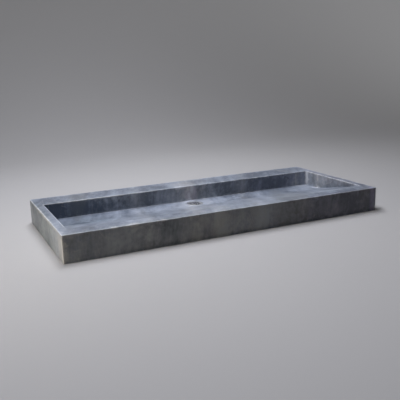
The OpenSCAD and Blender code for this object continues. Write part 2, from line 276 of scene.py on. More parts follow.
def thread_cutter(name, radius, depth, pitch, low, high, steps):
    """A V-shaped groove that climbs round the drain's axis, closed at both ends, in millimetres."""
    out, half, flat = radius + 0.4, pitch * 0.42, pitch * 0.06
    bpy.ops.mesh.primitive_plane_add(size=MM, location=(0, 0, 0))
    obj = started(name)
    with editing(obj):
        mesh = bmesh.from_edit_mesh(obj.data)
        corners = [(out, -half), (out, half), (radius - depth, flat), (radius - depth, -flat)]
        for vert, (r, z) in zip(mesh.faces[:][0].verts, corners):
            vert.co = Vector((r, 0, low + z)) * MM
        bmesh.update_edit_mesh(obj.data)
        bpy.ops.mesh.delete(type="ONLY_FACE")
    return coiled(obj, pitch, math.ceil((high - low) / pitch), steps)


def prism(name, outline, start, end, turn=0.0):
    """An outline of (across, height) points drawn out along a radius of the drain, in millimetres."""
    bpy.ops.mesh.primitive_circle_add(vertices=len(outline), radius=MM, fill_type="NGON", location=(0, 0, 0))
    obj = started(name)
    for vert, (across, height) in zip(obj.data.vertices, outline):
        vert.co = Vector((start, across, height)) * MM
    with editing(obj):
        bpy.ops.mesh.extrude_region_move(TRANSFORM_OT_translate={"value": ((end - start) * MM, 0, 0)})
        bpy.ops.mesh.select_all(action="SELECT")
        bpy.ops.mesh.normals_make_consistent(inside=False)
    obj.rotation_euler.z = math.radians(turn)
    obj.location = DRAIN
    apply_place(obj)
    return obj


def block_outline(wide, low, high):
    return [(-wide / 2, low), (wide / 2, low), (wide / 2, high), (-wide / 2, high)]


def finished(obj, body, replaced, finish):
    """Gives a piece its finish and shading, hangs it on the body that it moves with and hides the CAD node that it
    stands for.
    """
    obj.data.materials.clear()
    obj.data.materials.append(bpy.data.materials[finish])
    smooth(obj)
    even_normals(obj)
    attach(obj, body)
    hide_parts(replaced)
    return obj


# Node helpers


def feed(tree, made, values):
    """Sets a node's inputs to numbers, vectors or colours, or links them to other nodes' outputs."""
    for key, value in values.items():
        socket = made.inputs[key]
        if isinstance(value, bpy.types.NodeSocket):
            tree.links.new(value, socket)
        elif socket.type == "RGBA":
            socket.default_value = (*value[:3], 1)
        else:
            socket.default_value = value


def node(tree, kind, values=None, **settings):
    """Adds a node with its settings and its inputs."""
    made = tree.nodes.new(kind)
    for key, value in settings.items():
        setattr(made, key, value)
    feed(tree, made, values or {})
    return made


def maths(tree, operation, *values, clamp=False):
    return node(tree, "ShaderNodeMath", dict(enumerate(values)), operation=operation, use_clamp=clamp).outputs[0]


def vector_maths(tree, operation, *values):
    """Maths on vectors: a number for a length, a distance or a dot product, and else a vector."""
    made = node(tree, "ShaderNodeVectorMath", dict(enumerate(values)), operation=operation)
    return made.outputs["Value" if operation in ("LENGTH", "DISTANCE", "DOT_PRODUCT") else "Vector"]


def parted(tree, vector):
    """The three parts of a vector."""
    return node(tree, "ShaderNodeSeparateXYZ", {0: vector}).outputs


def mixed(tree, factor, a, b, blend="MIX"):
    """A colour mixed from two, each a colour or a link."""
    return node(tree, "ShaderNodeMix", {0: factor, 6: a, 7: b}, data_type="RGBA", blend_type=blend).outputs[2]


def spread(tree, value, low, high, to_low=0.0, to_high=1.0):
    """A value moved from one range to another, smoothly and within its ends."""
    return node(tree, "ShaderNodeMapRange", {0: value, 1: low, 2: high, 3: to_low, 4: to_high},
                interpolation_type="SMOOTHSTEP").outputs[0]


def noise(tree, place, scale, detail, roughness=0.6, **more):
    """A noise value about nought. With a W among its inputs, each W gives a noise of its own."""
    made = node(tree, "ShaderNodeTexNoise",
                {"Vector": place, "Scale": scale, "Detail": detail, "Roughness": roughness, **more},
                noise_dimensions="4D" if "W" in more else "3D")
    return maths(tree, "SUBTRACT", made.outputs[0], 0.5)


def group(name, inputs, outputs):
    """A new shader node group. Returns its tree, its input sockets and a function that links outputs."""
    tree = bpy.data.node_groups.new(name, "ShaderNodeTree")
    for label, kind, default in inputs:
        socket = tree.interface.new_socket(name=label, in_out="INPUT", socket_type=kind)
        if default is not None:
            socket.default_value = default
    for label, kind in outputs:
        tree.interface.new_socket(name=label, in_out="OUTPUT", socket_type=kind)
    entry = tree.nodes.new("NodeGroupInput")
    leave = tree.nodes.new("NodeGroupOutput")
    return tree, entry.outputs, lambda label, socket: tree.links.new(socket, leave.inputs[label])


def use(tree, shared, values):
    """Places a shared node group in a material."""
    return node(tree, "ShaderNodeGroup", values, node_tree=bpy.data.node_groups[shared]).outputs


FLOAT, VECTOR, COLOUR = "NodeSocketFloat", "NodeSocketVector", "NodeSocketColor"


def make_grain_group():
    """Fine mottling that stone, rubber, plastics and bare metal share."""
    tree, given, give = group(
        "Fine Grain",
        [("Vector", VECTOR, None), ("Size", FLOAT, 1.0), ("Contrast", FLOAT, 1.0)],
        [("Tone", FLOAT), ("Height", FLOAT)])
    scale = maths(tree, "DIVIDE", 1000.0, given["Size"])
    fine = noise(tree, given["Vector"], scale, 3.0)
    cells = node(tree, "ShaderNodeTexVoronoi", {"Vector": given["Vector"], "Scale": scale})
    speck = maths(tree, "SUBTRACT", cells.outputs["Distance"], 0.45)
    both = maths(tree, "ADD", fine, maths(tree, "MULTIPLY", speck, 0.35))
    give("Tone", maths(tree, "MULTIPLY_ADD", both, given["Contrast"], 0.5))
    give("Height", fine)


def make_plane_vein_group():
    """One vein: a wandering sheet through the stone, broken along its length, with a soft halo."""
    tree, given, give = group(
        "Vein Sheet",
        [("Vector", VECTOR, None), ("Facing", VECTOR, (1.0, 0.0, 0.0)), ("Place", FLOAT, 0.0),
         ("Width", FLOAT, 0.004), ("Wander", FLOAT, 0.02), ("Seed", FLOAT, 0.0)],
        [("Line", FLOAT), ("Halo", FLOAT)])
    shake = maths(tree, "MULTIPLY", noise(tree, given["Vector"], 12.0, 5.0, 0.62, W=given["Seed"]), given["Wander"])
    along = vector_maths(tree, "DOT_PRODUCT", given["Vector"], given["Facing"])
    off = maths(tree, "ABSOLUTE", maths(tree, "ADD", maths(tree, "SUBTRACT", along, given["Place"]), shake))
    broken = noise(tree, given["Vector"], 42.0, 4.0, W=maths(tree, "ADD", given["Seed"], 7.0))
    # the line fades over one width to each side and the halo over six; the gaps in the halo are less deep
    for label, widths, gap, whole, least in (("Line", 1.0, -0.10, 0.12, 0.1), ("Halo", 6.0, -0.18, 0.16, 0.35)):
        share = maths(tree, "DIVIDE", off, maths(tree, "MULTIPLY", given["Width"], widths))
        fade = maths(tree, "SUBTRACT", 1.0, share, clamp=True)
        give(label, maths(tree, "MULTIPLY", maths(tree, "MULTIPLY", fade, fade),
                          spread(tree, broken, gap, whole, least, 1.0)))


def make_patch_group():
    """A cloud round a point with a ragged edge: pale clouds of coarser crystals, beds and tints of the stone, and
    painted light and shade.
    """
    tree, given, give = group(
        "Pale Patch",
        [("Vector", VECTOR, None), ("Centre", VECTOR, (0.0, 0.0, 0.0)), ("Reach", VECTOR, (0.05, 0.05, 0.05))],
        [("Mask", FLOAT)])
    off = vector_maths(tree, "SUBTRACT", given["Vector"], given["Centre"])
    far = vector_maths(tree, "LENGTH", vector_maths(tree, "DIVIDE", off, given["Reach"]))
    edge = maths(tree, "MULTIPLY_ADD", noise(tree, given["Vector"], 55.0, 5.0, 0.62), 2.2, far)
    give("Mask", spread(tree, edge, 0.35, 1.15, 1.0, 0.0))


# The marks of the stone below are placed in millimetres. The block's front is at y -257.5, its left end at x -602.5
# and its top at z 90. The bowl's back wall is at y 150.5, its end walls at x 572.5 either way and its strip at z 31.

# lean and a point that the vein passes through, its width and wander, seed, strength of its line and halo, and tip
VEINS = (
    (20, -4, 150.5, 13, 42, 1.0, 0.62, 0.42, 0),
    (14, 18, 150.5, 9, 46, 6.9, 0.46, 0.26, 0),
    (16, 34, 150.5, 6, 50, 2.3, 0.30, 0.14, 0),
    (14, -325, -257.5, 8, 60, 3.7, 0.16, 0.20, 0),
    (19, -204, -257.5, 5, 50, 5.1, 0.14, 0.12, 0),
    (17, -62, -257.5, 7, 60, 6.4, 0.14, 0.20, 4),
    (22, 88, -257.5, 7, 55, 7.9, 0.16, 0.20, -5),
    (-30, 566, 72, 5, 36, 9.2, 0.55, 0.22, 0),
)

# pale clouds, and painted highlights along the back and left arrises and up the near left corner: centre, reach and
# strength
PATCHES = (
    ((-6, 175, 90), (60, 64, 30), 0.36),
    ((-376, -257.5, 90), (36, 16, 8), 0.62),
    ((-437, -257.5, 90), (16, 12, 6), 0.60),
    ((-372, -257.5, 78), (22, 10, 12), 0.22),
    ((-277, -257.5, 90), (18, 14, 6), 0.60),
    # painted highlight along the back wall's top arris
    ((-360, 150.5, 90), (230, 6, 5), 0.50),
    # painted highlight up the near left corner, in this row and the next
    ((-600, -257.5, 50), (12, 20, 60), 0.40),
    ((-602.5, -254, 45), (7, 12, 75), 0.85),
    # painted highlight along the left end's top arris
    ((-602.5, -50, 90), (6, 230, 10), 0.45),
    ((-575, -257.5, 86), (32, 8, 12), 0.22),
    # painted light: the left end paler towards the front
    ((-602.5, -240, 45), (20, 60, 70), 0.30),
)

# cool white wisps, and a painted pale line along the foot of the back wall: centre, reach and strength
WISPS = (
    ((563, 66, 31), (12, 34, 12), 0.65),
    ((540, 136, 31), (34, 16, 14), 0.45),
    ((572.5, 142, 62), (10, 14, 50), 0.50),
    ((-8, 138, 31), (36, 16, 12), 0.95),
    ((-42, 154, 90), (30, 14, 8), 0.60),
    ((14, 150.5, 76), (9, 6, 20), 0.38),
    ((2, 150.5, 52), (8, 6, 14), 0.38),
    # painted light along the foot of the back wall, over the shade there
    ((-50, 145.5, 31), (600, 10, 7), 0.30),
)

# paler and deeper beds of the stone, and painted light and shade: centre, reach and how far each shifts the tone
BEDS_AND_PAINTED_LIGHT = (
    # painted light: the front paler towards its left end
    ((-480, -257.5, 45), (190, 20, 90), 0.24),
    ((-310, -257.5, 50), (30, 20, 60), 0.30),
    ((-67, -257.5, 45), (40, 20, 70), 0.30),
    ((75, -257.5, 45), (80, 20, 80), 0.26),
    ((587, -257.5, 45), (18, 20, 90), 0.45),
    # painted light: the left end paler towards the front
    ((-602.5, -190, 45), (20, 120, 80), 0.26),
    ((-590, -50, 90), (30, 240, 20), 0.04),
    ((-40, 60, 45), (240, 130, 40), 0.30),
    # painted shade: the strip darker at its left end, under the left end wall
    ((-440, 100, 31), (180, 60, 20), -0.06),
    # painted shade: the front darker towards its right end
    ((420, -257.5, 45), (220, 20, 90), -0.40),
    ((10, 150.5, 60), (30, 14, 60), 0.26),
    ((62, 150.5, 60), (34, 12, 50), -0.34),
    # painted shadow of the left end wall on the back wall
    ((-545, 150.5, 60), (45, 12, 60), -0.50),
    # painted shade: the left end darker towards the back
    ((-602.5, 140, 45), (20, 130, 80), -0.16),
    # painted shade: the back rim darker on the left
    ((-340, 205, 90), (320, 60, 30), -0.40),
    # painted shade: the bowl's right end wall darker
    ((572.5, 20, 60), (12, 160, 50), -0.28),
    # painted shade: the front rim darker towards the right
    ((330, -234, 90), (300, 26, 12), -0.20),
    # painted shade: the back rim darker in the middle
    ((60, 205, 90), (80, 60, 30), -0.36),
    ((85, 90, 31), (130, 80, 30), 0.46),
    ((-270, 105, 31), (80, 50, 20), 0.24),
    ((-170, -140, 75), (80, 60, 20), 0.26),
    # painted shadow of the left end wall on the bowl's floor
    ((-490, 25, 45), (80, 50, 20), -0.48),
    ((490, 70, 35), (70, 80, 20), 0.20),
    ((-320, -225, 90), (70, 40, 20), 0.26),
    ((-586, -257.5, 55), (20, 16, 40), -0.26),
    # painted shadow along the foot of the front
    ((0, -257.5, 0), (640, 20, 14), -0.40),
    # painted shade: the back wall darker, in this row and the next two
    ((-150, 150.5, 60), (200, 12, 60), -0.20),
    ((-460, 150.5, 60), (200, 12, 60), -0.45),
    ((260, 150.5, 60), (280, 12, 60), -0.24),
    # painted shade: the back rim darker on the right
    ((380, 205, 90), (260, 60, 30), -0.30),
)

# warmer and cooler stone, and the back wall's left end toned darker and bluer as painted shade: centre, reach, the
# colour that it is toned with, and strength
TINTS = (
    ((-300, -257.5, 45), (460, 24, 120), (1.04, 1.00, 0.90), 0.8),
    ((430, -257.5, 45), (240, 24, 120), (1.00, 0.91, 0.97), 0.8),
    ((584, -257.5, 45), (16, 20, 120), (1.02, 0.92, 1.16), 0.8),
    ((587.5, 0, 90), (26, 300, 30), (1.10, 1.00, 0.98), 0.8),
    ((10, 150.5, 60), (36, 16, 60), (1.16, 0.98, 1.04), 0.9),
    ((-602.5, 60, 45), (24, 240, 120), (0.98, 1.00, 0.92), 0.9),
    ((420, 150.5, 60), (200, 14, 60), (0.94, 0.94, 1.06), 0.8),
    # painted shade: the back wall darker and bluer at its left end
    ((-480, 150.5, 60), (160, 14, 60), (0.82, 0.88, 0.96), 0.9),
    ((-450, 10, 45), (130, 120, 30), (0.93, 1.00, 1.00), 0.8),
)


def facing(lean, tip):
    """The way a vein's sheet faces, for its lean off the front-to-back line and its tip, in degrees."""
    a, b = math.radians(lean), math.radians(tip)
    return Vector((math.cos(a) * math.cos(b), -math.sin(a) * math.cos(b), math.sin(b)))


def patch(tree, place, centre, reach):
    """How far inside a ragged cloud a point is; its centre and reach are in millimetres."""
    values = {"Vector": place, "Centre": Vector(centre) * MM, "Reach": Vector(reach) * MM}
    return use(tree, "Pale Patch", values)["Mask"]


def bedding(tree, place):
    """The place, turned and then drawn out along beds that stand nearly upright, with a slow drift."""
    leaning = node(tree, "ShaderNodeMapping",
                   {"Vector": place, "Rotation": (0, math.radians(5), math.radians(-BED_LEAN)),
                    "Scale": (1.0, 3.0, 2.2)}, vector_type="TEXTURE")
    drift = node(tree, "ShaderNodeTexNoise", {"Vector": leaning.outputs[0], "Scale": 6.0, "Detail": 3.0})
    push = vector_maths(tree, "SUBTRACT", drift.outputs["Color"], (0.5, 0.5, 0.5))
    return vector_maths(tree, "MULTIPLY_ADD", push, (0.06, 0.06, 0.06), leaning.outputs[0])


def stone_tone(tree, place, bedded):
    """How pale the stone is: broad clouds, finer mottling, streaks along the beds, single beds, and patches of painted
    light and shade.
    """
    streaked = node(tree, "ShaderNodeMapping", {"Vector": bedded, "Scale": (1.0, 2.6, 4.0)},
                    vector_type="TEXTURE").outputs[0]
    tone = maths(tree, "MULTIPLY_ADD", noise(tree, bedded, 7.0, 4.0, 0.55), 1.7, 0.46)
    for at, scale, detail, weight in ((bedded, 26.0, 5.0, 1.25), (place, 19.0, 5.0, 0.8), (place, 75.0, 4.0, 0.6),
                                      (bedded, 90.0, 3.0, 0.4), (streaked, 52.0, 4.0, 0.75),
                                      (streaked, 150.0, 2.0, 0.40)):
        tone = maths(tree, "MULTIPLY_ADD", noise(tree, at, scale, detail), weight, tone)
    # each patch shifts the tone: some are beds of the stone, most are painted light and shade
    for centre, reach, shift in BEDS_AND_PAINTED_LIGHT:
        tone = maths(tree, "MULTIPLY_ADD", patch(tree, place, centre, reach), shift, tone)
    return maths(tree, "ADD", tone, 0.0, clamp=True)


def hairlines(tree, place, bedded, base, colour):
    """Thin broken lines where two noises cross their middle."""
    for at, scale, thin, weight in ((bedded, 10.0, 0.012, 0.20), (place, 24.0, 0.010, 0.14)):
        ridge = maths(tree, "ABSOLUTE", noise(tree, at, scale, 5.0, 0.55, Distortion=0.8))
        shown = spread(tree, noise(tree, at, scale * 1.7, 2.0), -0.03, 0.14)
        line = maths(tree, "MULTIPLY", spread(tree, ridge, 0.0, thin, weight, 0.0), shown)
        base = mixed(tree, line, base, colour)
    return base


def pale_marks(tree, place):
    """How strongly the veins, the pale clouds and the painted highlights show at a point."""
    pale = None
    for lean, x, y, width, wander, seed, line, halo, tip in VEINS:
        way = facing(lean, tip)
        out = use(tree, "Vein Sheet", {"Vector": place, "Facing": way, "Place": way.dot((x * MM, y * MM, BLOCK_HIGH.z)),
                                       "Width": width * MM, "Wander": wander * MM, "Seed": seed})
        both = maths(tree, "MAXIMUM", maths(tree, "MULTIPLY", out["Line"], line),
                     maths(tree, "MULTIPLY", out["Halo"], halo))
        pale = both if pale is None else maths(tree, "MAXIMUM", pale, both)
    for centre, reach, strength in PATCHES:
        pale = maths(tree, "MAXIMUM", pale, maths(tree, "MULTIPLY", patch(tree, place, centre, reach), strength))
    return pale


def make_stone_group(settings):
    """Clouds, streaks, hairlines and the few strong veins of the blue-grey marble, with painted light and shade in
    places.
    """
    tree, given, give = group(
        "Clouded Marble",
        [("Vector", VECTOR, None), ("Dark", COLOUR, (*settings.dark, 1)), ("Light", COLOUR, (*settings.light, 1)),
         ("Vein", COLOUR, (*settings.vein, 1)), ("Milky", COLOUR, (*settings.milky, 1))],
        [("Color", COLOUR), ("Tone", FLOAT)])
    place = given["Vector"]
    bedded = bedding(tree, place)
    tone = stone_tone(tree, place, bedded)
    base = mixed(tree, tone, given["Dark"], given["Light"])
    rust = noise(tree, bedded, 5.0, 3.0)
    base = mixed(tree, spread(tree, rust, 0.03, 0.2, 0.0, 0.3), base, (0.235, 0.230, 0.205))
    for centre, reach, colour, strength in TINTS:
        toned = mixed(tree, 1.0, base, colour, "MULTIPLY")
        base = mixed(tree, maths(tree, "MULTIPLY", patch(tree, place, centre, reach), strength), base, toned)
    base = hairlines(tree, place, bedded, base, given["Vein"])
    # the veins and pale clouds, with painted highlights along some arrises
    base = mixed(tree, pale_marks(tree, place), base, given["Vein"])
    for centre, reach, strength in WISPS:
        base = mixed(tree, maths(tree, "MULTIPLY", patch(tree, place, centre, reach), strength), base, given["Milky"])
    give("Color", base)
    give("Tone", tone)


# Materials


def material(name):
    made = bpy.data.materials.new(name)
    made.use_nodes = True
    tree = made.node_tree
    shader = tree.nodes["Principled BSDF"]
    place = tree.nodes.new("ShaderNodeTexCoord").outputs["Object"]
    return made, tree, shader, place


def bump(tree, shader, height, strength, distance):
    made = node(tree, "ShaderNodeBump", {"Height": height, "Strength": strength, "Distance": distance})
    feed(tree, shader, {"Normal": made.outputs[0]})


def bruised_and_highlit_edges(tree, place, settings):
    """The few millimetres beside each upper and upright arris, paled partly as stone that the saw has bruised and
    partly as a painted highlight.
    """
    x, y, z = parted(tree, place)
    half = (BLOCK_HIGH - BLOCK_LOW) / 2

    def beyond(axis, reach):
        """How far a point is, along an axis, outside a stretch about the block's middle."""
        return maths(tree, "SUBTRACT", maths(tree, "ABSOLUTE", axis), reach)

    head, wall = settings.front_rim - half.y, half.y - settings.back_rim
    outer_x, outer_y = beyond(x, half.x), beyond(y, half.y)
    bowl = maths(tree, "MAXIMUM", beyond(x, half.x - settings.end_rim), maths(tree, "SUBTRACT", y, wall))
    block = maths(tree, "MAXIMUM", outer_x, outer_y)
    # the bowl's edge fades towards the ramp's head, and the front arris is paled less than the others
    inner = maths(tree, "MULTIPLY", spread(tree, maths(tree, "ABSOLUTE", bowl), 0.0048, 0.0020),
                  spread(tree, y, head, head + 0.05))
    outer = maths(tree, "MULTIPLY", spread(tree, maths(tree, "ABSOLUTE", block), 0.0060, 0.0024),
                  spread(tree, y, 0.002 - half.y, 0.016 - half.y, 0.45, 1.0))
    upper = maths(tree, "MULTIPLY", maths(tree, "MAXIMUM", inner, outer), spread(tree, z, 0.0855, 0.0882))
    upright = spread(tree, maths(tree, "MINIMUM", outer_x, outer_y), -0.0050, -0.0020)
    return maths(tree, "MAXIMUM", upper, upright)


def make_marble(settings):
    """Honed stone, paler and rougher along its eased edges; the pale band beside the arrises is partly a painted
    highlight.
    """
    made, tree, shader, place = material("honed marble")
    stone = use(tree, "Clouded Marble", {"Vector": place})
    grain = use(tree, "Fine Grain", {"Vector": place, "Size": 1.4, "Contrast": 0.55})
    tint = node(tree, "ShaderNodeHueSaturation", {
        "Color": stone["Color"],
        "Value": spread(tree, grain["Tone"], 0.2, 0.8, 0.92, 1.08)})
    # a face that looks straight along an axis is flat, and one that leans is an eased edge
    normal = node(tree, "ShaderNodeNewGeometry").outputs["Normal"]
    sides = [maths(tree, "ABSOLUTE", part) for part in parted(tree, normal)]
    flat = maths(tree, "MAXIMUM", maths(tree, "MAXIMUM", sides[0], sides[1]), sides[2])
    # round the drain the walls curve, so only edges outside the recess are paled
    far = vector_maths(tree, "DISTANCE", place, DRAIN)
    edge = maths(tree, "MULTIPLY", spread(tree, flat, 0.965, 0.86), spread(tree, far, 0.052, 0.056))
    # the pale band along the arrises: partly bruised stone, partly a painted highlight
    bruise_and_highlight = maths(tree, "MULTIPLY", bruised_and_highlit_edges(tree, place, settings),
                    spread(tree, noise(tree, place, 38.0, 5.0), -0.12, 0.16, 0.16, 0.74))
    worn = maths(tree, "MULTIPLY", edge, spread(tree, noise(tree, place, 55.0, 4.0), -0.15, 0.15, 0.40, 1.0))
    worn = maths(tree, "MAXIMUM", worn, bruise_and_highlight)
    rough = spread(tree, noise(tree, place, 11.0, 5.0), -0.2, 0.2, 0.36, 0.46)
    rough = maths(tree, "MULTIPLY_ADD", stone["Tone"], 0.06, rough)
    rough = maths(tree, "MULTIPLY_ADD", worn, 0.12, rough)
    feed(tree, shader, {"Base Color": mixed(tree, worn, tint.outputs[0], settings.fresh),
                        "Roughness": rough, "IOR": 1.5})
    bump(tree, shader, grain["Height"], 0.12, 0.0002)
    return made


def make_fresh_stone(settings):
    """Stone where a chip has come off: pale, matt and sugary."""
    made, tree, shader, place = material("chipped marble")
    stone = use(tree, "Clouded Marble", {"Vector": place})
    grain = use(tree, "Fine Grain", {"Vector": place, "Size": 0.6, "Contrast": 1.2})
    colour = mixed(tree, 0.72, stone["Color"], settings.fresh)
    colour = mixed(tree, spread(tree, grain["Tone"], 0.3, 0.7, 0.0, 0.35), colour, (0.68, 0.69, 0.70))
    feed(tree, shader, {"Base Color": colour, "Roughness": 0.62})
    bump(tree, shader, grain["Height"], 0.6, 0.0003)
    return made


def make_sawn_stone(settings):
    """The unseen underside: left from the saw, with shallow marks across it."""
    made, tree, shader, place = material("sawn marble")
    stone = use(tree, "Clouded Marble", {"Vector": place})
    grain = use(tree, "Fine Grain", {"Vector": place, "Size": 1.0, "Contrast": 1.0})
    marks = node(tree, "ShaderNodeTexWave", {"Vector": place, "Scale": 90.0, "Distortion": 1.6, "Detail": 3.0,
                                             "Detail Scale": 0.4}, bands_direction="X")
    dusty = spread(tree, maths(tree, "MULTIPLY_ADD", marks.outputs["Fac"], 0.4, grain["Tone"]), 0.3, 1.1, 0.15, 0.5)
    feed(tree, shader, {"Base Color": mixed(tree, dusty, stone["Color"], settings.fresh),
                        "Roughness": spread(tree, grain["Tone"], 0.2, 0.8, 0.62, 0.8)})
    height = maths(tree, "MULTIPLY_ADD", grain["Height"], 0.6, marks.outputs["Fac"])
    bump(tree, shader, height, 0.35, 0.0004)
    return made


def make_turned_group():
    """Fine rings left by turning and polishing round the drain's axis, with smears that break them up."""
    tree, given, give = group(
        "Turned Marks",
        [("Vector", VECTOR, None), ("Rings", FLOAT, 1400.0), ("Smear", FLOAT, 60.0)],
        [("Height", FLOAT), ("Smears", FLOAT)])
    x, y, z = parted(tree, vector_maths(tree, "SUBTRACT", given["Vector"], DRAIN))
    reach = maths(tree, "SQRT", maths(tree, "ADD", maths(tree, "MULTIPLY", x, x), maths(tree, "MULTIPLY", y, y)))
    across = node(tree, "ShaderNodeCombineXYZ", {0: reach, 1: 0.0, 2: z})
    give("Height", noise(tree, across.outputs[0], given["Rings"], 2.0, 0.5))
    give("Smears", noise(tree, given["Vector"], given["Smear"], 4.0))


def make_wear_group():
    """Where a piece's edges are rubbed, broken up so that the wear isn't even."""
    tree, given, give = group(
        "Edge Wear",
        [("Vector", VECTOR, None), ("Radius", FLOAT, 0.0004)],
        [("Mask", FLOAT)])
    rounded = node(tree, "ShaderNodeBevel", {"Radius": given["Radius"]})
    plain = node(tree, "ShaderNodeNewGeometry").outputs["Normal"]
    edge = spread(tree, vector_maths(tree, "DOT_PRODUCT", rounded.outputs[0], plain), 0.995, 0.86)
    give("Mask", maths(tree, "MULTIPLY", edge, spread(tree, noise(tree, given["Vector"], 700.0, 3.0), -0.1, 0.12)))


def make_metal(name, colour, roughness, change, tarnish=None, rings=0.03, film=0.0):
    """A turned metal: tarnished in patches, bright where its edges are rubbed."""
    made, tree, shader, place = material(name)
    marks = use(tree, "Turned Marks", {"Vector": place})
    grain = use(tree, "Fine Grain", {"Vector": place, "Size": 0.8, "Contrast": 0.5})
    wear = use(tree, "Edge Wear", {"Vector": place, "Radius": 0.0004})
    dull = mixed(tree, spread(tree, marks["Smears"], -0.08, 0.22, 0.0, 0.5 if tarnish else 0.3), colour,
                 tarnish or tuple(c * 0.8 for c in colour))
    dull = mixed(tree, spread(tree, grain["Tone"], 0.3, 0.7, 0.0, 0.05), dull, (1, 1, 1))
    bright = tuple(min(1, c * 1.15) for c in colour)
    rough = spread(tree, marks["Smears"], -0.2, 0.22, roughness, roughness + change)
    metallic = 1.0
    if film:
        dried = spread(tree, noise(tree, place, 140.0, 4.0), -0.12, 0.14, 0.4 * film, film)
        metallic = maths(tree, "SUBTRACT", 1.0, dried)
    feed(tree, shader, {"Base Color": mixed(tree, maths(tree, "MULTIPLY", wear["Mask"], 0.6), dull, bright),
                        "Roughness": maths(tree, "MULTIPLY_ADD", wear["Mask"], -0.06, rough), "Metallic": metallic})
    bump(tree, shader, marks["Height"], rings, 0.0001)
    return made


def make_moulded(name, colour, roughness, dust, grain_size, grain_depth):
    """A moulded rubber or plastic, a little dusty, paler where its edges are rubbed."""
    made, tree, shader, place = material(name)
    grain = use(tree, "Fine Grain", {"Vector": place, "Size": grain_size, "Contrast": 0.8})
    wear = use(tree, "Edge Wear", {"Vector": place, "Radius": 0.0003})
    cloud = spread(tree, noise(tree, place, 130.0, 4.0), -0.15, 0.2, 0.0, dust)
    base = mixed(tree, cloud, colour, tuple(c * 0.6 + 0.14 for c in colour))
    base = mixed(tree, spread(tree, grain["Tone"], 0.25, 0.75, 0.0, 0.12), base, tuple(c * 0.72 for c in colour))
    worn = maths(tree, "MULTIPLY", wear["Mask"], 0.28)
    rough = spread(tree, noise(tree, place, 210.0, 3.0), -0.2, 0.2, roughness - 0.06, roughness + 0.08)
    feed(tree, shader, {"Base Color": mixed(tree, worn, base, tuple(c * 0.7 + 0.22 for c in colour)),
                        "Roughness": rough})
    bump(tree, shader, grain["Height"], grain_depth, 0.00015)
    return made


def make_waste_finishes(settings):
    make_metal("satin chrome", settings.chrome, roughness=0.34, change=0.08, film=0.26)
    make_metal("polished chrome", settings.chrome, roughness=0.20, change=0.10, film=0.12)
    make_metal("bare brass", settings.brass, roughness=0.30, change=0.16, tarnish=(0.40, 0.27, 0.12), rings=0.06)
    make_metal("nickel plate", settings.nickel, roughness=0.26, change=0.10, rings=0.05)
    make_metal("spring steel", settings.steel, roughness=0.30, change=0.12)
    for name, colour, roughness, dust, grain_size, grain_depth in (
            ("black rubber", (0.022, 0.022, 0.024), 0.68, 0.22, 0.5, 0.35),
            ("white plastic", (0.78, 0.77, 0.73), 0.42, 0.10, 0.4, 0.12),
            ("black plastic", (0.030, 0.030, 0.032), 0.40, 0.12, 0.4, 0.15)):
        make_moulded(name, colour, roughness, dust, grain_size, grain_depth)


# The stone block


def near(a, b, gap=0.01 * MM):
    return abs(a - b) < gap


def carve_block(settings):
    """The block with its bowl: two cells of its top sink, and the front one tips into a ramp."""
    size, middle, top = BLOCK_HIGH - BLOCK_LOW, (BLOCK_HIGH + BLOCK_LOW) / 2, BLOCK_HIGH.z
    depth = top - settings.floor_thickness
    end_x = size.x / 2 - settings.end_rim
    wall_y = BLOCK_HIGH.y - settings.back_rim
    foot_y = wall_y - settings.strip_width
    head_y = BLOCK_LOW.y + settings.front_rim
    square, flat = math.radians(60), math.radians(0.3)
    bpy.ops.mesh.primitive_cube_add(size=1, location=middle, scale=size)
    block = started("marble_block")
    apply_place(block)
    cuts = [((x, 0, 0), (1, 0, 0)) for x in (-end_x, end_x)]
    cuts += [((0, y, 0), (0, 1, 0)) for y in (head_y, foot_y, wall_y)]
    with editing(block):
        for place, way in cuts:
            pick(block, "faces", lambda face: near(face.calc_center_median().z, top))
            bpy.ops.mesh.bisect(plane_co=place, plane_no=way)
        pick(block, "faces", lambda face: near(face.calc_center_median().z, top)
             and abs(face.calc_center_median().x) < end_x and head_y < face.calc_center_median().y < wall_y)
        bpy.ops.mesh.extrude_region_move(TRANSFORM_OT_translate={"value": (0, 0, -depth)})
        pick(block, "verts", lambda vert: near(vert.co.y, head_y) and near(vert.co.z, top - depth))
        bpy.ops.transform.translate(value=(0, 0, depth))
        bpy.ops.mesh.select_all(action="SELECT")
        bpy.ops.mesh.remove_doubles(threshold=0.01 * MM)
        pick(block, "edges", lambda edge: edge.is_convex and edge.calc_face_angle(0) > square)
        bpy.ops.mesh.bevel(offset=settings.arris, segments=3, profile=0.5, affect="EDGES")
        bpy.ops.mesh.select_all(action="SELECT")
        bpy.ops.mesh.dissolve_limited(angle_limit=flat)
        bpy.ops.mesh.normals_make_consistent(inside=False)
    return block


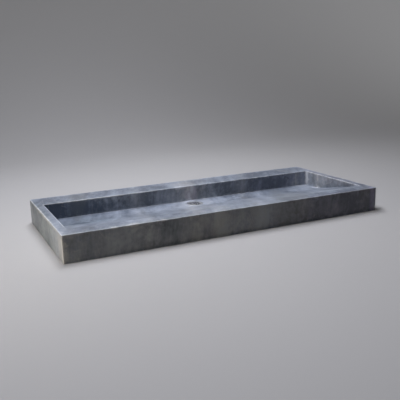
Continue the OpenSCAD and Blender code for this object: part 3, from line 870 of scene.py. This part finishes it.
def arrises(settings):
    """The arrises that have chips: their two ends, the way out of the stone, and how many chips each has."""
    low, high = BLOCK_LOW, BLOCK_HIGH
    end_x, wall_y, top = high.x - settings.end_rim, high.y - settings.back_rim, high.z
    # the bowl's end walls start a little behind the ramp's head, and the upright arrises above the floor
    head_y, foot = low.y + settings.front_rim + 0.04, 0.004
    return (
        ((low.x, low.y, top), (high.x, low.y, top), (0, -1, 1), 16),
        ((low.x, high.y, top), (high.x, high.y, top), (0, 1, 1), 9),
        ((low.x, low.y, top), (low.x, high.y, top), (-1, 0, 1), 7),
        ((high.x, low.y, top), (high.x, high.y, top), (1, 0, 1), 6),
        ((-end_x, wall_y, top), (end_x, wall_y, top), (0, -1, 1), 9),
        ((-end_x, head_y, top), (-end_x, wall_y, top), (1, 0, 1), 4),
        ((end_x, head_y, top), (end_x, wall_y, top), (-1, 0, 1), 4),
        ((low.x, low.y, 0), (high.x, low.y, 0), (0, -1, -1), 10),
        ((low.x, low.y, 0), (low.x, high.y, 0), (-1, 0, -1), 5),
        ((low.x, low.y, foot), (low.x, low.y, top), (-1, -1, 0), 3),
        ((high.x, low.y, foot), (high.x, low.y, top), (1, -1, 0), 3),
        ((low.x, high.y, foot), (low.x, high.y, top), (-1, 1, 0), 2),
        ((high.x, high.y, foot), (high.x, high.y, top), (1, 1, 0), 2),
    )


def chip_cutter(settings, finish):
    """Small sharp-sided lumps along the arrises, each a copy of one, that nick the stone."""
    dice = random.Random(11)
    bpy.ops.mesh.primitive_ico_sphere_add(subdivisions=2, radius=1, location=(0, 0, 0))
    first = started("chip")
    for vert in first.data.vertices:
        vert.co *= dice.uniform(0.8, 1.1)
    first.data.materials.append(finish)
    copies = []
    for start, end, out, count in arrises(settings):
        start, end, out = Vector(start), Vector(end), Vector(out).normalized()
        along = (end - start).normalized()
        frame = Matrix((along, along.cross(out), out)).transposed().to_4x4()
        for i in range(count):
            share = (i + dice.uniform(0.1, 0.9)) / count
            bite = dice.uniform(0.25, 0.8) * (1.5 if dice.random() < 0.15 else 1)
            half = Vector((dice.uniform(1.2, 3.4), dice.uniform(1.4, 2.4), dice.uniform(1.2, 1.8)))
            # the eased edge stands back from the sharp one, so the lump sinks past it
            stand = (half.z - bite) * MM - 0.45 * settings.arris
            lump = first.copy()
            lump.data = first.data.copy()
            bpy.context.collection.objects.link(lump)
            spin = (Matrix.Rotation(dice.uniform(0, math.tau), 4, "X")
                    @ Matrix.Rotation(dice.uniform(0, math.tau), 4, "Z"))
            lump.matrix_world = (Matrix.Translation(start.lerp(end, share) + out * stand) @ frame
                                 @ Matrix.Diagonal((*half * MM, 1)) @ spin)
            copies.append(lump)
    bpy.data.objects.remove(first)
    for lump in copies:
        apply_place(lump)
    return joined("chips", copies)


def drain_cutter():
    """The flange's seat, the hole and the recess under it, with their edges just broken."""
    gasket, ceiling, floor = level("flange_gasket", 0), RECESS_CEILING / MM, STONE_FLOOR / MM
    seat_r, hole_r, recess_r, ease = FLANGE_R + 0.5, 23.0, 50.0, 0.4
    return turned("drain_cutter", [
        (0, -1), (recess_r + 1 + ease, -1), (recess_r + ease, 0), (recess_r, ease), (recess_r, ceiling),
        (hole_r + ease, ceiling), (hole_r, ceiling + ease), (hole_r, gasket - ease), (hole_r + ease, gasket),
        (seat_r, gasket), (seat_r, floor - ease), (seat_r + ease, floor), (seat_r + ease, floor + 1), (0, floor + 1)],
        closed=False)


class WASHBASIN_OT_marble_block(bpy.types.Operator):
    """Carve the stone block with its bowl, drain seat and nicked arrises, and finish it as honed marble"""

    bl_idname = "washbasin.marble_block"
    bl_label = "Marble Block"

    def execute(self, context):
        settings = context.scene.washbasin_stone
        marble, fresh, sawn = make_marble(settings), make_fresh_stone(settings), make_sawn_stone(settings)
        block = carve_block(settings)
        block.data.materials.append(marble)
        block.data.materials.append(sawn)
        for face in block.data.polygons:
            if face.normal.z < -0.99:
                face.material_index = 1
        cut(block, chip_cutter(settings, fresh))
        cutter = drain_cutter()
        cutter.data.materials.append(marble)
        cutter.data.materials.append(sawn)
        for face in cutter.data.polygons:
            if face.center.z < RECESS_CEILING + 0.01 * MM:
                face.material_index = 1
        cut(block, cutter)
        smooth(block)
        even_normals(block)
        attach(block, "basin")
        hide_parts("basin_block")
        return {"FINISHED"}


# The waste


def ringed(low, high, inner, outer, ease=0.3):
    """The profile of a ring whose four edges are eased, in millimetres."""
    return [(inner + ease, low), (outer - ease, low), (outer, low + ease), (outer, high - ease),
            (outer - ease, high), (inner + ease, high), (inner, high - ease), (inner, low + ease)]


def level(name, end):
    """The lowest (0) or highest (1) level of a CAD node, in millimetres."""
    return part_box(name)[end].z / MM


def levels(name):
    """The lowest and the highest level of a CAD node, in millimetres."""
    return [corner.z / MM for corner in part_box(name)]


def shell_profile():
    """Flange, mouth, neck and tail of the waste."""
    low, top = levels("waste_body")
    under, nut = level("flange_gasket", 1), level("backnut", 0)
    groove, dish = TAIL_R - RELIEF, MOUTH_R + 5.2
    return [
        (BORE_R + 0.3, low), (TAIL_R - 1, low), (TAIL_R, low + 1), (TAIL_R, nut - 1), (groove, nut - 1),
        (groove, nut), (TAIL_R, nut), (TAIL_R, under - 4), (NECK_R, under - 4), (NECK_R, under),
        (FLANGE_R - 0.3, under), (FLANGE_R, under + 0.3), *arc((FLANGE_R - 1.2, top - 1.2), 1.2, 0, 90, 8),
        *arc((dish, top - 2.0), 2.0, 90, 107, 3), (MOUTH_R, top - 1.65), (MOUTH_R - 0.6, top - 2.0),
        *arc((BORE_R + 1.2, top - 4.2), 1.2, 120, 180, 4), (BORE_R, low + 0.3)]


def spider():
    """A ring that holds the cartridge, on three arms that reach into the tail's wall."""
    low, top = level("cartridge_nut", 1), level("cartridge_washer", 0)
    hub = turned("spider", ringed(low, top, inner=SLEEVE_R + PLAY, outer=12.0, ease=0.4), SMALL_STEPS)
    # each arm runs from inside the ring to the middle of the tail's wall
    start, end, wide = 10.5, (BORE_R + TAIL_R) / 2, 3
    for angle in (90, 210, 330):
        turn = math.radians(angle)
        middle = Vector((math.cos(turn) * (start + end) / 2, math.sin(turn) * (start + end) / 2, (low + top) / 2))
        bpy.ops.mesh.primitive_cube_add(size=1, location=DRAIN + middle * MM, rotation=(0, 0, turn),
                                        scale=((end - start) * MM, wide * MM, (top - low - 0.2) * MM))
        arm = started("arm")
        apply_place(arm)
        with editing(arm):
            bpy.ops.mesh.bevel(offset=0.5 * MM, segments=2, affect="EDGES")
        cut(hub, arm, "UNION")
    return hub


def threaded_waste(settings):
    """The turned shell with its pipe thread cut, and the spider inside it."""
    shell = turned("threaded_waste", shell_profile())
    cut(shell, thread_cutter("thread", TAIL_R, settings.thread_depth / MM, settings.thread_pitch / MM,
                             low=level("waste_body", 0) - 3, high=level("flange_gasket", 1) - 7.6,
                             steps=THREAD_STEPS))
    weld(shell)
    return weld(cut(shell, spider(), "UNION"))


def cap_profile():
    """The plug's cap: dome, rim, skirt with its seal groove, and the boss for the stem."""
    skirt_low, top = levels("plug_cap")
    seal_low, seal_top = levels("plug_seal")
    rod, hole = level("plunger", 1), STEM_R + PLAY
    cap, dome, wall, skirt, boss = 20.5, 1.0, 1.5, 16.6, 5.5
    ball = (cap * cap + dome * dome) / (2 * dome)
    centre = top - ball
    edge = math.degrees(math.acos(cap / ball))
    inner = ball - wall

    def under(radius):
        return math.degrees(math.acos(radius / inner))

    rim = top - dome - 0.9
    return [
        (0, rod + 4.1), (hole - 0.4, rod + 4.1), (hole, rod + 3.7), (hole, rod), (boss - 0.3, rod), (boss, rod + 0.3),
        *arc((0, centre), inner, under(boss), under(skirt - 1.8), 4),
        (skirt - 1.8, skirt_low + 0.2), (skirt - 1.6, skirt_low), (skirt - 0.3, skirt_low), (skirt, skirt_low + 0.3),
        (skirt, seal_low), (GROOVE_R, seal_low), (GROOVE_R, seal_top), (skirt, seal_top), (skirt, rim),
        *arc((cap - 0.35, rim + 0.35), 0.35, -90, 0, 4), *arc((cap - 0.35, top - dome - 0.33), 0.35, 0, 80, 6),
        *arc((0, centre), ball, edge + 0.2, 90, 14)]


def hex_nut(name, low, high, flats, bore):
    """A hexagonal nut: its corners are turned off at both faces and its bore is countersunk."""
    corner, face = flats / math.sqrt(3), flats / 2 + 0.2
    wide = corner + 0.5
    chamfer = math.radians(25)
    slope = (wide - face) * math.tan(chamfer)
    bpy.ops.mesh.primitive_cylinder_add(vertices=6, radius=corner * MM, depth=(high - low) * MM,
                                        location=DRAIN + Vector((0, 0, (low + high) / 2)) * MM,
                                        rotation=(0, 0, math.radians(30)))
    nut = started(name)
    apply_place(nut)
    with editing(nut):
        pick(nut, "edges", lambda edge: not near(edge.verts[0].co.z, edge.verts[1].co.z))
        bpy.ops.mesh.bevel(offset=0.35 * MM, segments=3, affect="EDGES")
    envelope = turned("envelope", [
        (bore + 0.6, low), (face, low), (wide, low + slope), (wide, high - slope), (face, high),
        (bore + 0.6, high), (bore, high - 0.6), (bore, low + 0.6)])
    return cut(nut, envelope, "INTERSECT")


def crown_ridge(height, tip, start, end, turn):
    """One tooth's worth of the crown: a ridge along a radius, drawn a little past the face it stands on."""
    past = 1.4
    half, back = CORE_R * 0.24 * past, tip + (height - tip) * past
    return prism("ridge", [(-half, back), (0, tip), (half, back)], start, end, turn)


def threaded_sleeve():
    """The click cartridge's housing: threaded below its shoulder, slotted and notched inside."""
    low, top = levels("cartridge_sleeve")
    seat, slots, roof = level("cartridge_washer", 1), level("index_rotor", 1) + RUN_GAP, top - 1.2
    outer, shoulder, chamber, ribs, guide = SLEEVE_R, SHOULDER_R, 7.2, 5.9, 4.075
    sleeve = turned("threaded_sleeve", [
        (chamber + 0.3, low), (outer - 0.5, low), (outer, low + 0.5), (outer, seat), (shoulder - 0.25, seat),
        (shoulder, seat + 0.25), (shoulder, seat + 1.25), (shoulder - 0.25, seat + 1.5), (outer, seat + 1.5),
        (outer, top - 0.5), (outer - 0.5, top), (guide + 0.3, top), (guide, top - 0.3), (guide, roof), (ribs, roof),
        (ribs, slots), (chamber, slots), (chamber, low + 0.3)], SMALL_STEPS)
    cut(sleeve, thread_cutter("fine_thread", outer, depth=0.55, pitch=1.0, low=low - 1.5, high=seat - 1.4,
                              steps=FINE_THREAD_STEPS))
    weld(sleeve)
    for turn in QUARTERS:
        cut(sleeve, prism("slot", block_outline(SLOT_WIDE, slots - 0.5, roof - 0.05), start=3, end=SLOT_R, turn=turn))
        notch = prism("notch", [(-1.5 * SLOT_WIDE, slots - 1.2), (SLOT_WIDE / 2, slots - 1.2),
                                (SLOT_WIDE / 2, slots + 1.2)], start=0, end=SLEEVE_R, turn=turn + 45)
        cut(notch, turned("round_cutter", [(0, slots - 0.5), (SLOT_R, slots - 0.5), (SLOT_R, roof), (0, roof)],
                          CROWN_STEPS, closed=False), "INTERSECT")
        cut(sleeve, notch)
    return weld(sleeve)


def index_ring():
    """The ring that turns a step at each press: four lugs, and crown teeth on its upper face."""
    low, top = levels("index_rotor")
    ring = turned("index_ring", ringed(low, top, inner=2.5, outer=CORE_R, ease=0.12), CROWN_STEPS)
    for turn in QUARTERS:
        cut(ring, prism("lug", [(-LUG_WIDE / 2, low + 0.03), (LUG_WIDE / 2, low + 0.03), (LUG_WIDE / 2, top - 0.03),
                                (-LUG_WIDE / 2, top - CROWN)], CORE_R - 1, LUG_REACH, turn), "UNION")
    for turn in QUARTERS:
        cut(ring, crown_ridge(top, top - CROWN, -CORE_R - 1, CORE_R + 1, turn / 2 + 22.5))
    return weld(ring)


def lugged_plunger():
    """The rod that the plug stands on, with its lugs, its crown teeth and a pilot for the ring."""
    low, top = levels("plunger")
    teeth = level("index_rotor", 1) + RUN_GAP
    head = teeth + CROWN
    head_top = head + 2.2
    rod, pilot, hole = 4.0, 2.2, STEM_R + PLAY
    body = turned("lugged_plunger", [
        (0, low), (pilot - 0.3, low), (pilot, low + 0.3), (pilot, head), (CORE_R - 0.15, head),
        (CORE_R, head + 0.15), (CORE_R, head_top - 0.2), (CORE_R - 0.2, head_top), (rod + 0.2, head_top),
        (rod, head_top + 0.2), (rod, top - 0.3), (rod - 0.3, top), (hole + 0.2, top), (hole, top - 0.2),
        (hole, top - 5), (0, top - 5)], CROWN_STEPS, closed=False)
    for turn in QUARTERS:
        cut(body, prism("lug", block_outline(LUG_WIDE, head + 0.03, head_top - 0.03), CORE_R - 1, LUG_REACH, turn),
            "UNION")
    for i in range(8):
        # each tooth starts at its own depth inside the pilot, so that no two of their ends meet in a line
        cut(body, crown_ridge(head, teeth, 1.2 + 0.05 * i, CORE_R - 0.06, 45 * i + 22.5), "UNION")
    return weld(body)


def threaded_stem():
    """The stud that joins the cap to the plunger."""
    low, top = levels("plug_stem")
    ease = 0.5
    stem = turned("threaded_stem", [
        (0, low), (STEM_R - ease, low), (STEM_R, low + ease), (STEM_R, top - ease), (STEM_R - ease, top), (0, top)],
        STEM_STEPS, closed=False)
    return cut(stem, thread_cutter("stud_thread", STEM_R, depth=0.5, pitch=1.0, low=low - 1.5, high=top + 0.6,
                                   steps=STUD_THREAD_STEPS))


def wound_spring():
    """A round wire wound at an even pitch."""
    low, high = levels("return_spring")
    wire, mean, turns = 0.4, 4.7, 5
    bpy.ops.mesh.primitive_circle_add(vertices=14, radius=wire * MM, location=Vector((mean, 0, low + wire)) * MM,
                                      rotation=(math.pi / 2, 0, 0))
    spring = started("wound_spring")
    apply_place(spring)
    return coiled(spring, (high - low - 2 * wire) / turns, turns, SPRING_STEPS)


def end_cap():
    """The disc that closes the sleeve, with a pilot inside the spring and a slot for a coin."""
    low, top = levels("cartridge_end_plug")
    disc = turned("slotted_end_plug", [
        (0, low), (6.7, low), (7.1, low + 0.4), (7.1, top - 1.7), (6.9, top - 1.5), (3.8, top - 1.5),
        (3.8, top - 0.4), (3.4, top), (0, top)], SMALL_STEPS, closed=False)
    return cut(disc, prism("coin_slot", block_outline(1.4, low - 1, low + 0.8), start=-4.6, end=4.6, turn=35))


class WASHBASIN_OT_waste_body(bpy.types.Operator):
    """Turn the waste's flange and tail, cut its thread and fit the spider inside"""

    bl_idname = "washbasin.waste_body"
    bl_label = "Waste Body"

    def execute(self, context):
        finished(threaded_waste(context.scene.washbasin_waste), "basin", "waste_body", "satin chrome")
        return {"FINISHED"}


class WASHBASIN_OT_clamping_ring(bpy.types.Operator):
    """Turn the gasket, the tapered washer and the slip washer, and make the backnut that pulls them up"""

    bl_idname = "washbasin.clamping_ring"
    bl_label = "Clamping Ring"

    def execute(self, context):
        gasket = turned("flat_gasket", ringed(*levels("flange_gasket"), inner=22.8, outer=31.5, ease=0.15))
        finished(gasket, "basin", "flange_gasket", "black rubber")
        low, top = levels("tapered_washer")
        ceiling, inner, outer = RECESS_CEILING / MM, TAIL_R + PLAY, 29.0
        washer = turned("tapered_ring", [
            (21.2, low), (outer - 0.4, low), (outer, low + 0.4), (outer, low + 1.4), (outer - 0.2, low + 1.65),
            (27.1, ceiling - 0.08), (26.8, ceiling), (22.7, ceiling), (22.0, top - 0.3), (21.6, top), (21.2, top),
            (inner, top - 0.15), (inner, low + 0.15)])
        finished(washer, "basin", "tapered_washer", "black rubber")
        slip = turned("slip_ring", ringed(*levels("slip_washer"), inner=TAIL_R + 2 * PLAY, outer=28.0, ease=0.15))
        finished(slip, "basin", "slip_washer", "white plastic")
        nut = hex_nut("hex_backnut", *levels("backnut"), flats=52.0, bore=TAIL_R + PLAY)
        finished(nut, "basin", "backnut", "bare brass")
        return {"FINISHED"}


class WASHBASIN_OT_cartridge(bpy.types.Operator):
    """Make the click cartridge: sleeve, washer, nut, end plug, turning ring and plunger"""

    bl_idname = "washbasin.cartridge"
    bl_label = "Click Cartridge"

    def execute(self, context):
        finished(threaded_sleeve(), "basin", "cartridge_sleeve", "nickel plate")
        washer = turned("thin_ring", ringed(*levels("cartridge_washer"), inner=SLEEVE_R + PLAY, outer=SHOULDER_R,
                                            ease=0.08), SMALL_STEPS)
        finished(washer, "basin", "cartridge_washer", "white plastic")
        nut = hex_nut("hex_thin_nut", *levels("cartridge_nut"), flats=23.0, bore=SLEEVE_R + PLAY)
        finished(nut, "basin", "cartridge_nut", "bare brass")
        finished(end_cap(), "basin", "cartridge_end_plug", "black plastic")
        finished(index_ring(), "rotor", "index_rotor", "white plastic")
        finished(lugged_plunger(), "plug", "plunger", "black plastic")
        return {"FINISHED"}


class WASHBASIN_OT_spring(bpy.types.Operator):
    """Wind the return spring, which in the real waste stretches as the plug rises; here it stays as wound."""

    bl_idname = "washbasin.spring"
    bl_label = "Return Spring"

    def execute(self, context):
        spring = wound_spring()
        spring.data.materials.append(bpy.data.materials["spring steel"])
        smooth(spring)
        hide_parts("return_spring")
        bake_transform(spring)
        return {"FINISHED"}


class WASHBASIN_OT_plug(bpy.types.Operator):
    """Turn the domed cap of the plug with its skirt, its seal and the stud under it"""

    bl_idname = "washbasin.plug"
    bl_label = "Plug"

    def execute(self, context):
        cap = turned("domed_cap", cap_profile(), CAP_STEPS, closed=False)
        finished(cap, "plug", "plug_cap", "polished chrome")
        low, top = levels("plug_seal")
        lip = 17.9
        seal = turned("lip_seal", [
            (GROOVE_R, low), (16.8, low), (17.1, low + 0.06), (lip - 0.08, low + 0.5), (lip, low + 0.62),
            (lip, top - 0.7), (lip - 0.1, top - 0.56), (17.1, top - 0.08), (16.8, top), (GROOVE_R, top)])
        finished(seal, "plug", "plug_seal", "black rubber")
        finished(threaded_stem(), "plug", "plug_stem", "bare brass")
        return {"FINISHED"}


# The stage


# name, place, what it points at, size, power in watts, colour, the angle that its light fans out to,
# and whether it is a card seen only in reflections
LIGHTS = (
    ("side_softbox", (-2.50, -0.34, 0.24), (-0.6, -0.14, 0.05), (0.8, 0.3), 3.2, (1.0, 0.92, 0.78), 60, False),
    ("top_softbox", (-0.35, 0.30, 2.3), (0.0, 0.05, 0.0), (2.4, 0.45), 77.5, (0.82, 0.865, 1.0), 180, False),
    ("reflector_card", (0.1, 2.0, 2.2), (0.0, 0.1, 0.0), (1.6, 0.9), 16.0, (1.0, 1.0, 1.0), 180, True),
)

# where the photograph was taken from, the way ahead and the way up
CAMERA_PLACE = (-0.933987, -1.886597, 0.587791)
CAMERA_AHEAD = (0.42210376, 0.87391611, -0.24103747)
CAMERA_UP = (0.126826, 0.20634356, 0.97022549)


def floor_finish(settings):
    """Pale and faintly uneven. It throws back less light than it shows, and fades into haze far off."""
    made, tree, shader, place = material("studio floor")
    tone = spread(tree, noise(tree, place, 1.5, 3.0, 0.5), -0.15, 0.15, 0.0, 0.08)
    colour = mixed(tree, tone, settings.floor, tuple(c * 0.9 for c in settings.floor))
    path = node(tree, "ShaderNodeLightPath")
    seen = maths(tree, "MAXIMUM", path.outputs["Is Camera Ray"],
                 maths(tree, "MAXIMUM", path.outputs["Is Glossy Ray"], path.outputs["Is Transmission Ray"]))
    haze = maths(tree, "MULTIPLY", spread(tree, vector_maths(tree, "LENGTH", place), 1.6, 6.0), seen)
    feed(tree, shader, {"Base Color": mixed(tree, seen, settings.bounce, colour),
                        "Emission Color": mixed(tree, haze, (0, 0, 0), (0.20, 0.20, 0.205)),
                        "Emission Strength": 1.0, "Roughness": 0.75, "Specular IOR Level": 0.25})
    return made


def lay_floor(settings):
    """A floor that sweeps up into a wall far behind the block."""
    bpy.ops.mesh.primitive_plane_add(size=1, location=(0, 0, 0))
    floor = started("studio_floor")
    floor.scale = (24, 10, 1)
    floor.location = (0, -1.0, 0)
    apply_place(floor)
    with editing(floor):
        back = max(vert.co.y for vert in bmesh.from_edit_mesh(floor.data).verts)
        pick(floor, "edges", lambda edge: all(near(vert.co.y, back) for vert in edge.verts))
        bpy.ops.mesh.extrude_region_move(TRANSFORM_OT_translate={"value": (0, 0.0, 7.0)})
        pick(floor, "edges", lambda edge: all(near(vert.co.y, back) and near(vert.co.z, 0) for vert in edge.verts))
        bpy.ops.mesh.bevel(offset=2.5, segments=24, affect="EDGES")
    smooth(floor)
    floor.data.materials.append(floor_finish(settings))


def light_room(scene):
    """A faint room. Polished metal shows it paler overhead."""
    world = bpy.data.worlds.new("studio")
    scene.world = world
    world.use_nodes = True
    tree = world.node_tree
    sky = tree.nodes["Background"]
    height = parted(tree, node(tree, "ShaderNodeTexCoord").outputs["Generated"])[2]
    shown = spread(tree, height, 0.1, 0.95, 0.12, 0.42)
    path = node(tree, "ShaderNodeLightPath")
    shiny = maths(tree, "MAXIMUM", path.outputs["Is Glossy Ray"], path.outputs["Is Transmission Ray"])
    room = mixed(tree, shiny, (0.012, 0.012, 0.012), shown)
    feed(tree, sky, {"Color": mixed(tree, path.outputs["Is Camera Ray"], room, (0.25, 0.25, 0.255)), "Strength": 1.0})


def hang_lights():
    for name, place, target, size, power, colour, fan, reflected in LIGHTS:
        bpy.ops.object.light_add(type="AREA", location=place)
        lamp = started(name)
        lamp.rotation_euler = (Vector(target) - Vector(place)).to_track_quat("-Z", "Y").to_euler()
        lamp.data.shape = "RECTANGLE"
        lamp.data.size, lamp.data.size_y = size
        lamp.data.energy = power
        lamp.data.color = colour
        lamp.data.spread = math.radians(fan)
        # metal shows the card and not the lamps, which would burn out in it
        lamp.visible_glossy = reflected
        lamp.visible_diffuse = not reflected
        lamp.visible_camera = False


def set_camera(scene, settings):
    ahead = Vector(CAMERA_AHEAD)
    side = ahead.cross(Vector(CAMERA_UP)).normalized()
    turn = Matrix((side, side.cross(ahead), -ahead)).transposed()
    bpy.ops.object.camera_add(location=CAMERA_PLACE, rotation=turn.to_euler())
    camera = started("photo_camera")
    camera.data.lens = settings.lens
    camera.data.sensor_width = 36
    scene.camera = camera
    scene.view_settings.view_transform = "Standard"


class WASHBASIN_OT_stage(bpy.types.Operator):
    """Lay the pale floor, hang the soft lights and set the camera where the photograph was taken"""

    bl_idname = "washbasin.stage"
    bl_label = "Stage"

    def execute(self, context):
        settings = context.scene.washbasin_stage
        lay_floor(settings)
        light_room(context.scene)
        hang_lights()
        set_camera(context.scene, settings)
        return {"FINISHED"}


# Panel and registration


class WASHBASIN_PT_panel(bpy.types.Panel):
    """Everything that makes the washbasin"""

    bl_label = "Washbasin"
    bl_idname = "WASHBASIN_PT_panel"
    bl_space_type = "VIEW_3D"
    bl_region_type = "UI"
    bl_category = "Washbasin"

    def draw(self, context):
        scene = context.scene
        for title, settings in (("Stone", scene.washbasin_stone), ("Waste", scene.washbasin_waste),
                                ("Stage", scene.washbasin_stage)):
            box = self.layout.box()
            box.label(text=title)
            for name in settings.bl_rna.properties.keys():
                if name not in ("rna_type", "name"):
                    box.prop(settings, name)
        for operator in OPERATORS:
            self.layout.operator(operator.bl_idname)


OPERATORS = (WASHBASIN_OT_marble_block, WASHBASIN_OT_waste_body, WASHBASIN_OT_clamping_ring, WASHBASIN_OT_cartridge,
             WASHBASIN_OT_spring, WASHBASIN_OT_plug, WASHBASIN_OT_stage)
CLASSES = (StoneSettings, WasteSettings, StageSettings, *OPERATORS, WASHBASIN_PT_panel)


def register():
    for item in CLASSES:
        bpy.utils.register_class(item)
    bpy.types.Scene.washbasin_stone = PointerProperty(type=StoneSettings)
    bpy.types.Scene.washbasin_waste = PointerProperty(type=WasteSettings)
    bpy.types.Scene.washbasin_stage = PointerProperty(type=StageSettings)


def unregister():
    del bpy.types.Scene.washbasin_stone, bpy.types.Scene.washbasin_waste, bpy.types.Scene.washbasin_stage
    for item in reversed(CLASSES):
        bpy.utils.unregister_class(item)


def main():
    register()
    make_grain_group()
    make_plane_vein_group()
    make_patch_group()
    make_stone_group(bpy.context.scene.washbasin_stone)
    make_turned_group()
    make_wear_group()
    make_waste_finishes(bpy.context.scene.washbasin_waste)
    bpy.ops.washbasin.marble_block()
    bpy.ops.washbasin.waste_body()
    bpy.ops.washbasin.clamping_ring()
    bpy.ops.washbasin.cartridge()
    bpy.ops.washbasin.spring()
    bpy.ops.washbasin.plug()
    bpy.ops.washbasin.stage()


if __name__ == "__main__":
    main()
